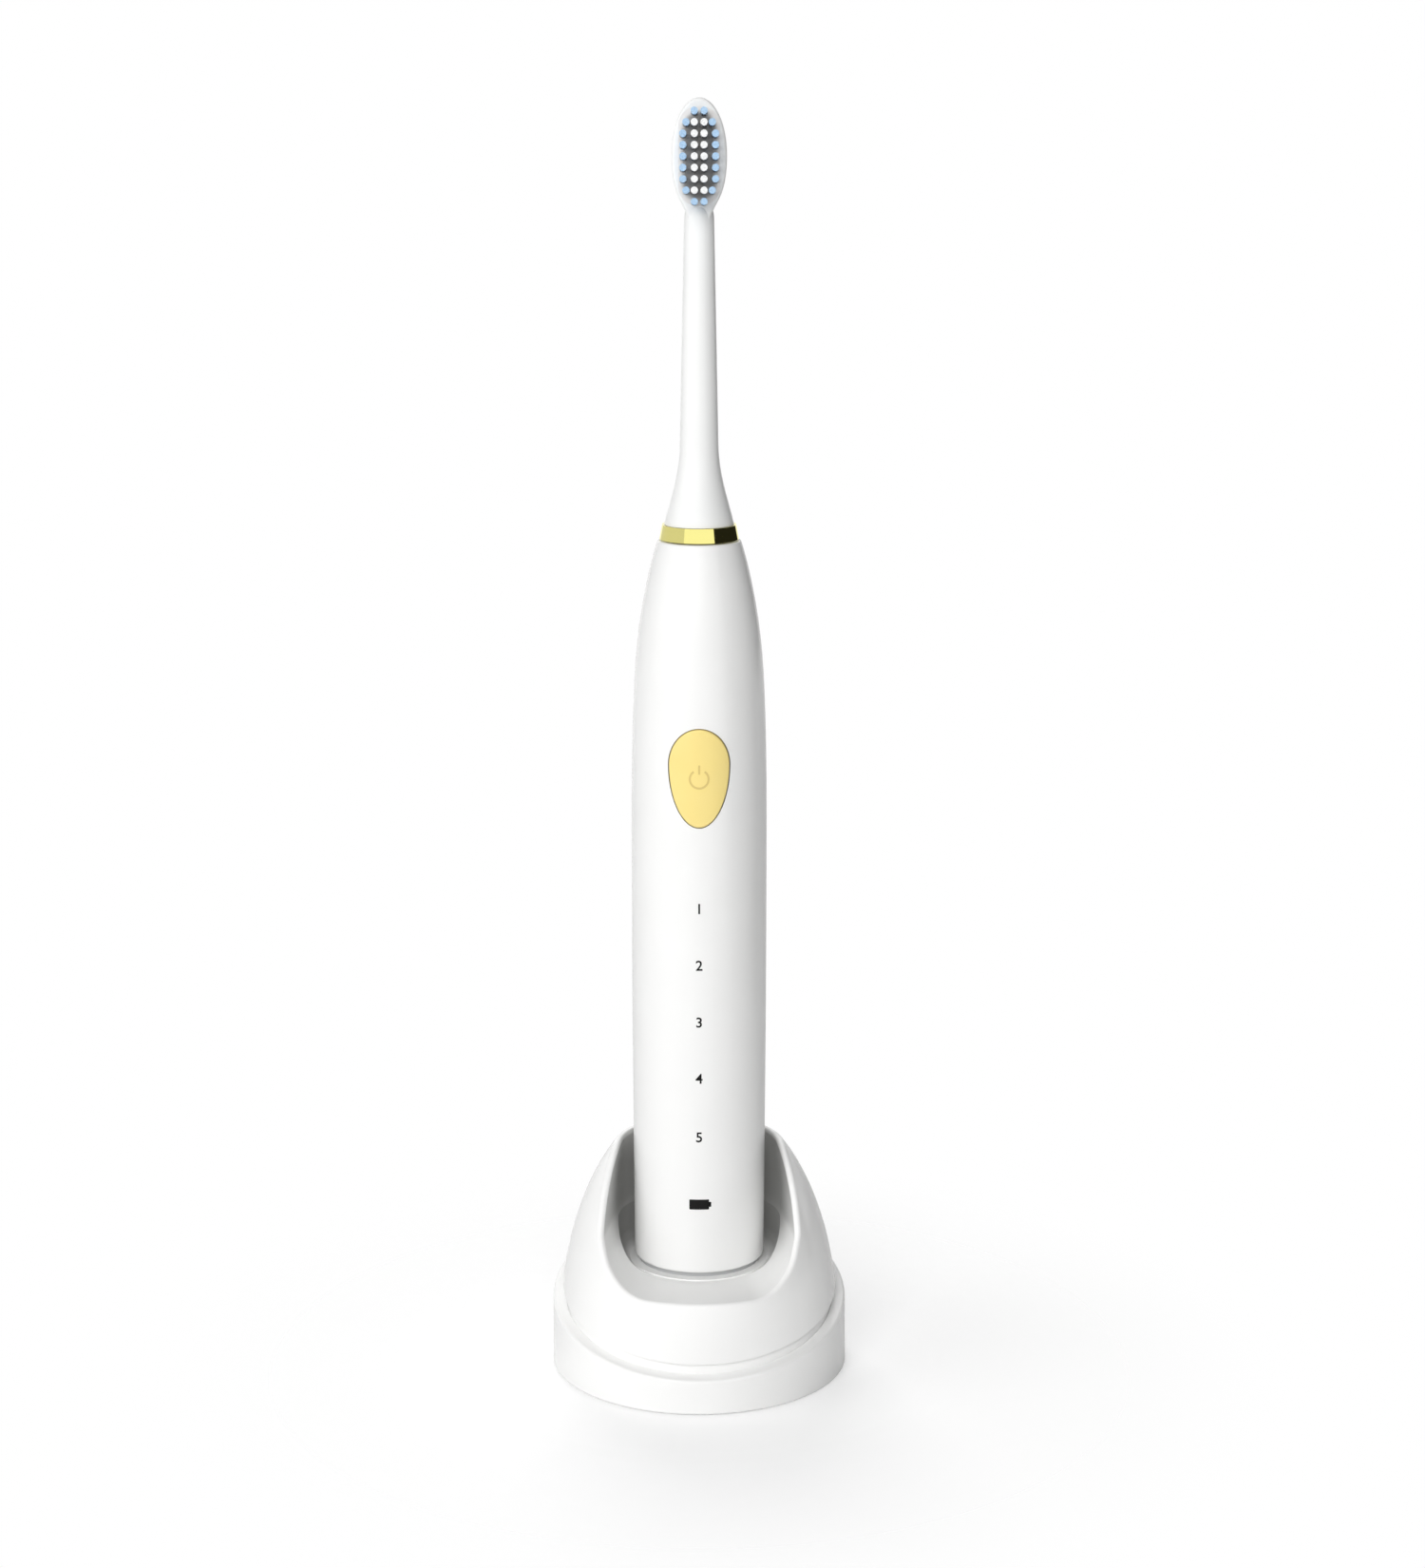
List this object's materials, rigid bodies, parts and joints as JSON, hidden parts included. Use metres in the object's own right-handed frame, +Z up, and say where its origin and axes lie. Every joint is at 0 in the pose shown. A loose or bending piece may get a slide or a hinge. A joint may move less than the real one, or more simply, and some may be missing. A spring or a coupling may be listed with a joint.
{
  "type": "electric_toothbrush_on_charger",
  "caption": "Slim rechargeable toothbrush standing in a domed induction charger with an open front; the brush lifts off, the head swings and pulls off, the button presses in.",
  "frame": {"origin": "middle of the charger's underside, on the surface that it stands on", "axes": "+Z up along the brush, -Y is the front with the button and bristles, +X to the right seen from the front"},
  "size_m": [0.0626, 0.0626, 0.2649],
  "materials": {
    "white_shell": "satin",
    "white_head": "gloss",
    "grey_cap": "matte",
    "black_rubber": "matte",
    "grey_rubber": "matte",
    "steel": "satin",
    "cell_sleeve": "gloss",
    "ferrite": "matte",
    "inner_plastic": "matte",
    "light_plastic": "satin",
    "copper": "satin",
    "board_green": "satin",
    "chip_black": "matte",
    "bronze": "satin",
    "gold_satin": "satin",
    "gold_polished": "polished",
    "bristle_blue": "satin",
    "bristle_white": "satin"
  },
  "bodies": {
    "charger": {"base_tub": "white_shell", "foot_ring": "black_rubber", "base_screws": "steel", "cord_gland": "grey_rubber", "cradle": "white_shell", "ferrite_core": "ferrite", "coil_bobbin": "inner_plastic", "transmitter_coil": "copper", "charger_board": "board_green", "charger_components": "chip_black"},
    "handle": {"handle_housing": "white_shell", "end_cap": "grey_cap", "cap_seal": "black_rubber", "receiver_coil": "copper", "battery_cell": "cell_sleeve", "battery_tabs": "steel", "inner_frame": "inner_plastic", "circuit_board": "board_green", "board_components": "chip_black", "board_screws": "steel", "mode_lights": "light_plastic", "light_guide": "light_plastic", "motor_can": "steel", "motor_end_plate": "steel", "lower_bearing": "bronze", "upper_bearing": "bronze", "stator_winding": "copper", "motor_damper": "black_rubber", "shaft_seal": "grey_rubber", "button_gasket": "grey_rubber", "push_switch": "chip_black"},
    "drive": {"drive_shaft": "steel", "rotor_magnet": "ferrite"},
    "head": {"head_body": "white_head", "neck_ring": "gold_polished", "shaft_sleeve": "inner_plastic", "bristles_blue": "bristle_blue", "bristles_white": "bristle_white"},
    "button": {"power_button": "gold_satin"},
    "plunger": {"switch_plunger": "inner_plastic"}
  },
  "joints": [
    {"name": "brush_lift", "type": "slide", "parent": "charger", "child": "handle", "axis": [0, 0, 1], "range_m": [0, 0.045]},
    {"name": "shaft_swing", "type": "hinge", "parent": "handle", "child": "drive", "pos_m": [0, 0, 0.177], "axis": [0, 0, 1], "range_deg": [-5, 5], "stiffness_Nm_per_rad": 0.02},
    {"name": "head_pull", "type": "slide", "parent": "drive", "child": "head", "axis": [0, 0, 1], "range_m": [0, 0.026]},
    {"name": "button_press", "type": "slide", "parent": "handle", "child": "button", "axis": [0, 1, 0], "range_m": [0, 0.0004], "stiffness_N_per_m": 3000},
    {"name": "plunger_press", "type": "slide", "parent": "handle", "child": "plunger", "axis": [0, 1, 0], "range_m": [0, 0.0004]}
  ],
  "couplings": [
    {"joint": "plunger_press", "follows": "button_press", "ratio": 1}
  ]
}
